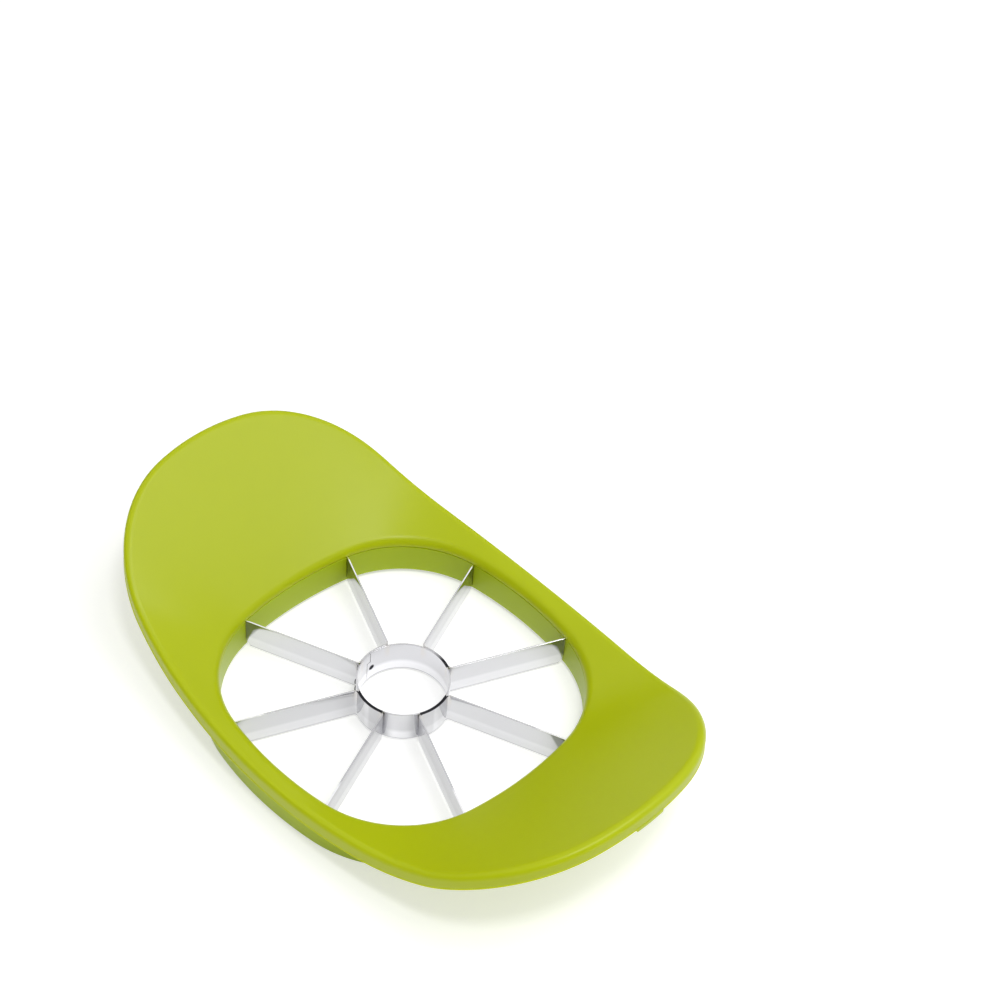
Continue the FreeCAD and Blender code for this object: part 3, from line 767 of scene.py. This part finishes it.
# each pair runs from none to full: bands by height and reaches by distance are in mm, and
# the reflection dims go by a blade's direction in degrees; all but the base colour are painted
# reflection, shade or highlight
bladeSteel = {
    "colour": "#d2d2d5",
    "floorReflectionColour": "#dfdfe2",
    "floorReflectionBand": (5.0, 3.8),
    "footShadeColour": "#c4c4c8",
    "footShadeBand": (1.2, 1.1),
    "reflectionDims": [
        (-22.5, 0.87), (-67.5, 0.83), (-112.5, 0.93), (157.5, 0.9), (22.5, 0.96), (112.5, 0.92),
    ],
    "paintedShadeColour": "#9a9c98",
    "endFacing": (-0.383, 0.924, 0),
    "endCone": (-0.4, -0.2),
    "endRise": 1.6,
    "endReach": (73.0, 74.6),
    "tipHighlightColour": "#f6f6f8",
    "tipReach": (35.5, 37.5),
    "shadeSpots": [],
}
ringSteel = {
    "colour": "#d2d2d5",
    "floorReflectionColour": "#ececef",
    "floorReflectionBand": (4.7, 3.1),
    "footShadeColour": "#c4c4c8",
    "footShadeBand": (1.2, 1.1),
    "reflectionDims": [],
    "paintedShadeColour": "#b6b6bb",
    "endShare": (0.24, 0.14),
    "bareShare": (0.124, 0.126),
    "outsideReach": (11.7, 11.8),
    "shadeSpots": [(-11.6, -0.35, 4.6, 0.95), (-9.6, -7.5, 6.3, 0.8), (-9.6, -7.5, 3.7, 0.8)],
}
steelFinish = {
    "roughness": 0.11,
    "roughnessSpread": 0.04,
    "rollingLine": 0.15,
    "rollingStretch": (0.02, 0.02, 1.0),
    "reflectionCone": (0.935, 0.955),
    "topBand": (9.9, 9.94),
    "heatColour": "#cdbb98",
    "heatShare": 0.12,
    "heatStart": (0.06, 0.12),
    "heatStop": (0.16, 0.13),
    "heatReach": (13.6, 13.0),
    "heatBand": (5.5, 8.0),
    # painted shade: the dark line along the doubled top edges
    "doubledShadeColour": "#303034",
    "doubledShare": (0.122, 0.12),
    "doubledReach": (12.8, 12.5),
    "nearFacing": (1, -0.55, 0),
    "nearReach": (-8.2, -4.5),
    # painted shade: the colour of the dark spots over the ring's slot and lugs
    "spotShadeColour": "#4a4a4e",
    "spotFade": 0.25,
}


def rolledStainless(name, steel, forRing):
    # bright-rolled stainless strip: nearly a mirror, with fine lines along the strip; over it lie
    # painted reflection, shade and highlight, such as a paler lower band that stands in for the
    # bright floor it mirrors
    finish = steelFinish
    material, tree = newMaterial(name)
    place = addNode(tree, "ShaderNodeTexCoord").outputs["Object"]
    inMm = addNode(
        tree, "ShaderNodeVectorMath", {0: place, "Scale": 1 / mm}, operation="SCALE"
    ).outputs[0]
    height = addNode(tree, "ShaderNodeSeparateXYZ", {"Vector": inMm}).outputs["Z"]
    level = addNode(
        tree, "ShaderNodeVectorMath", {0: inMm, 1: (1, 1, 0)}, operation="MULTIPLY"
    ).outputs[0]
    reach = addNode(tree, "ShaderNodeVectorMath", {0: level}, operation="LENGTH").outputs["Value"]
    toward = addNode(tree, "ShaderNodeVectorMath", {0: level}, operation="NORMALIZE").outputs[0]
    heading = addNode(tree, "ShaderNodeSeparateXYZ", {"Vector": toward}).outputs
    slant = addNode(
        tree, "ShaderNodeMath", {0: heading["X"], 1: heading["Y"]}, operation="MULTIPLY"
    ).outputs[0]
    # 0 at the middle of each folded strip, a quarter half-way between two of them
    between = addNode(tree, "ShaderNodeMath", {0: slant, 1: 2.0}, operation="POWER").outputs[0]

    # each layer over the bare steel, most of them painted reflection, shade or highlight: its
    # strength, the ramps that bound it, and its colour or dimming factor
    straight, smooth = "LINEAR", "SMOOTHSTEP"
    layers = [
        # painted reflection: the lower band is painted paler, for the bright floor it mirrors
        (1.0, [(height, steel["floorReflectionBand"], smooth)], steel["floorReflectionColour"]),
        # painted shade: a darker line at the very foot, for the shaded floor line it mirrors
        (1.0, [(height, steel["footShadeBand"], straight)], steel["footShadeColour"]),
    ]
    for turn, tint in steel["reflectionDims"]:  # painted reflection: each blade is dimmed by its own factor, for the floor it mirrors
        along = (math.cos(math.radians(turn)), math.sin(math.radians(turn)), 0)
        nearness = addNode(
            tree, "ShaderNodeVectorMath", {0: toward, 1: along}, operation="DOT_PRODUCT"
        ).outputs["Value"]
        layers.append((1.0, [(nearness, finish["reflectionCone"], straight)], tint))
    if forRing:  # painted shade: the band next to each fold is painted darker, for the fold it mirrors
        bounds = [
            (between, steel["endShare"], smooth),
            (between, steel["bareShare"], straight),
            (reach, steel["outsideReach"], straight),
        ]
        layers.append((1.0, bounds, steel["paintedShadeColour"]))
    else:  # painted shade: the far blades' ends are painted darker, for the shaded slots they mirror
        corner = addNode(
            tree, "ShaderNodeMath", {0: reach, 1: steel["endRise"], 2: height},
            operation="MULTIPLY_ADD",
        ).outputs[0]
        away = addNode(
            tree, "ShaderNodeVectorMath", {0: toward, 1: steel["endFacing"]},
            operation="DOT_PRODUCT",
        ).outputs["Value"]
        bounds = [(corner, steel["endReach"], smooth), (away, steel["endCone"], straight)]
        layers.append((1.0, bounds, steel["paintedShadeColour"]))
        # painted highlight: the top edge is painted pale in front of the wall
        bounds = [(height, finish["topBand"], straight), (reach, steel["tipReach"], straight)]
        layers.append((1.0, bounds, steel["tipHighlightColour"]))
    bounds = [  # a straw tint from the welds
        (between, finish["heatStart"], smooth),
        (between, finish["heatStop"], smooth),
        (reach, finish["heatReach"], straight),
        (height, finish["heatBand"], straight),
    ]
    layers.append((finish["heatShare"], bounds, finish["heatColour"]))
    # painted shade: where a strip is welded round the ring, the two top edges and their gap are
    # painted as one dark line, strongest at the near end
    nearEnd = addNode(
        tree, "ShaderNodeVectorMath", {0: inMm, 1: finish["nearFacing"]}, operation="DOT_PRODUCT"
    ).outputs["Value"]
    bounds = [
        (between, finish["doubledShare"], straight),
        (height, finish["topBand"], straight),
        (nearEnd, finish["nearReach"], straight),
        (reach, finish["doubledReach"], straight),
    ]
    layers.append((1.0, bounds, finish["doubledShadeColour"]))
    # painted shade: dark spots over the ring's locking slot and its two lugs
    for x, y, z, size in steel["shadeSpots"]:
        away = addNode(
            tree, "ShaderNodeVectorMath", {0: inMm, 1: (x, y, z)}, operation="DISTANCE"
        ).outputs["Value"]
        bounds = [(away, (size, size - finish["spotFade"]), straight)]
        layers.append((1.0, bounds, finish["spotShadeColour"]))

    colour = linear(steel["colour"])
    for strength, bounds, over in layers:
        for value, (start, stop), shape in bounds:
            ramp = addNode(
                tree, "ShaderNodeMapRange",
                {"Value": value, "From Min": start, "From Max": stop},
                interpolation_type=shape,
            ).outputs["Result"]
            strength = addNode(
                tree, "ShaderNodeMath", {0: strength, 1: ramp}, operation="MULTIPLY"
            ).outputs[0]
        if isinstance(over, float):  # a painted reflection dim scales what lies below it
            over = addNode(
                tree, "ShaderNodeVectorMath", {0: colour, "Scale": over}, operation="SCALE"
            ).outputs[0]
        else:
            over = linear(over)
        colour = addNode(
            tree, "ShaderNodeMix", {"Factor": strength, "A": colour, "B": over}, data_type="RGBA"
        ).outputs["Result"]

    # rolling lines are some microns apart; they are drawn 0.15 mm apart so that they show
    stretched = addNode(
        tree, "ShaderNodeMapping", {"Vector": place, "Scale": finish["rollingStretch"]}
    )
    lines = addNode(
        tree, "ShaderNodeTexNoise",
        {
            "Vector": stretched.outputs["Vector"],
            "Scale": perMetre(finish["rollingLine"]),
            "Detail": 2.0,
        },
    )
    gloss = addNode(
        tree, "ShaderNodeMapRange",
        {
            "Value": lines.outputs["Fac"],
            "To Min": finish["roughness"] - finish["roughnessSpread"],
            "To Max": finish["roughness"] + finish["roughnessSpread"],
        },
    )
    shader = addNode(
        tree, "ShaderNodeBsdfPrincipled",
        {"Base Color": colour, "Roughness": gloss.outputs["Result"], "Metallic": 1.0},
    )
    addNode(tree, "ShaderNodeOutputMaterial", {"Surface": shader.outputs["BSDF"]})
    return material


topMaterial = lowGlossPolypropylene(
    "lime polypropylene, spark-eroded", mouldedGreen["colour"], mouldedGreen["deepColour"]
)
carrierMaterial = lowGlossPolypropylene(
    "lime polypropylene, carrier", mouldedGreen["carrierColour"], mouldedGreen["carrierDeep"]
)
bladeMaterial = rolledStainless("bright-rolled stainless strip", bladeSteel, False)
ringMaterial = rolledStainless("bright-rolled stainless ring band", ringSteel, True)


def dress(piece, material, node):
    piece.data.materials.clear()
    piece.data.materials.append(material)
    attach(piece, "root")
    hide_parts(node)


dress(shellPiece, topMaterial, "top_shell")
dress(carrierPiece, carrierMaterial, "blade_carrier")
dress(ringPiece, ringMaterial, "core_ring")
for node, piece in bladePieces.items():
    dress(piece, bladeMaterial, f"blade_pair_{node}")
print("materials set")


# floor, light and camera, in metres and degrees, with the camera's place in mm
studio = {
    "floorSize": 4,
    "floorShare": 0.7,
    "floorGlow": 0.5,
    "floorBounce": 0.85,
    "tableGlow": 0.16,
    "worldLight": 0.47,
    "keySize": 0.14,
    "keyPower": 2.7,
    "keyPlace": (0.33, -0.17, 0.97),
    "fillSize": 0.5,
    "fillPower": 3.25,
    "fillPlace": (0.34, 0.25, 0.91),
    "clothColour": "#1c1c1e",
    "fenceSides": 64,
    "fenceRadius": 0.6,
    "fenceDepth": 2.0,
    "fenceFoot": -0.01,
    "fenceLow": 0.31,
    "fenceHigh": 0.7,
    "fenceFacing": -44.4,
    "fenceSlope": 2.0,
    "fenceGap": 0.06,
    "gapFacing": 54.0,
    "gapSlope": 3.0,
    "gapStart": 1.5,
    "cameraPlace": (253.076, -248.091, 428.748),
    "cameraTurn": (44.984, -3.632, 45.944),
    "lens": 78.42,
    "sensor": 36,
    "nearClip": 0.01,
}


def seenDirectly(tree):
    # 1 for camera, glossy and transmission rays
    path = addNode(tree, "ShaderNodeLightPath").outputs
    seen = path["Is Camera Ray"]
    for ray in ("Is Glossy Ray", "Is Transmission Ray"):
        seen = addNode(
            tree, "ShaderNodeMath", {0: seen, 1: path[ray]}, operation="MAXIMUM"
        ).outputs[0]
    return seen


bpy.ops.object.select_all(action="DESELECT")
bpy.ops.mesh.primitive_plane_add(size=studio["floorSize"])
floor = bpy.context.object
floor.name = "floor"
paper, tree = newMaterial("white studio paper")
seen = seenDirectly(tree)
paperShade = addNode(
    tree, "ShaderNodeMapRange",
    {"Value": seen, "To Min": studio["floorBounce"], "To Max": studio["floorShare"]},
)
paperGlow = addNode(
    tree, "ShaderNodeMapRange",
    {"Value": seen, "To Min": studio["tableGlow"], "To Max": studio["floorGlow"]},
)
diffuse = addNode(tree, "ShaderNodeBsdfDiffuse", {"Color": paperShade.outputs["Result"]})
emission = addNode(
    tree, "ShaderNodeEmission",
    {"Color": (1, 1, 1, 1), "Strength": paperGlow.outputs["Result"]},
)
both = addNode(tree, "ShaderNodeAddShader", {0: diffuse.outputs[0], 1: emission.outputs[0]})
addNode(tree, "ShaderNodeOutputMaterial", {"Surface": both.outputs[0]})
floor.data.materials.append(paper)

world = bpy.data.worlds.new("studio")
world.use_nodes = True
tree = world.node_tree
tree.nodes.clear()
strength = addNode(
    tree, "ShaderNodeMapRange",
    {"Value": seenDirectly(tree), "To Min": studio["worldLight"], "To Max": 1.0},
)
background = addNode(
    tree, "ShaderNodeBackground",
    {"Color": (1, 1, 1, 1), "Strength": strength.outputs["Result"]},
)
addNode(tree, "ShaderNodeOutputWorld", {"Surface": background.outputs[0]})
bpy.context.scene.world = world

for lamp in ("key", "fill"):  # a small box over the near end, and a broad one on the right
    place = Vector(studio[f"{lamp}Place"])
    bpy.ops.object.light_add(type="AREA", location=place)
    softbox = bpy.context.object
    softbox.name = f"{lamp}_softbox"
    softbox.data.size = studio[f"{lamp}Size"]
    softbox.data.energy = studio[f"{lamp}Power"]
    softbox.rotation_euler = (-place).to_track_quat("-Z", "Y").to_euler()

# black cloth round the set, which only reflections see: it is higher on the camera's side
# and low where the far lobe has its broad sheen
bpy.ops.object.select_all(action="DESELECT")
bpy.ops.mesh.primitive_cylinder_add(
    vertices=studio["fenceSides"], radius=studio["fenceRadius"],
    depth=studio["fenceDepth"], end_fill_type="NOTHING",
)
fence = bpy.context.object
fence.name = "black_fence"
fence.visible_camera = fence.visible_diffuse = False
fence.visible_shadow = fence.visible_transmission = False
for corner in fence.data.vertices:
    around = math.degrees(math.atan2(corner.co.y, corner.co.x))
    toCamera = math.cos(math.radians(around - studio["fenceFacing"]))
    toGap = math.cos(math.radians(around - studio["gapFacing"]))
    share = min(max(toCamera * studio["fenceSlope"], 0.0), 1.0)
    opening = min(max(toGap * studio["gapSlope"] - studio["gapStart"], 0.0), 1.0)
    top = studio["fenceLow"] + (studio["fenceHigh"] - studio["fenceLow"]) * share
    top += (studio["fenceGap"] - top) * opening
    corner.co.z = top if corner.co.z > 0 else studio["fenceFoot"]
cloth, tree = newMaterial("black cloth")
blackDiffuse = addNode(tree, "ShaderNodeBsdfDiffuse", {"Color": linear(studio["clothColour"])})
addNode(tree, "ShaderNodeOutputMaterial", {"Surface": blackDiffuse.outputs[0]})
fence.data.materials.append(cloth)

bpy.ops.object.camera_add(location=Vector(studio["cameraPlace"]) * mm)
camera = bpy.context.object
camera.rotation_euler = [math.radians(turn) for turn in studio["cameraTurn"]]
camera.data.lens = studio["lens"]
camera.data.sensor_width = studio["sensor"]
camera.data.clip_start = studio["nearClip"]
bpy.context.scene.camera = camera
bpy.context.scene.view_settings.view_transform = "Standard"
print("studio set")
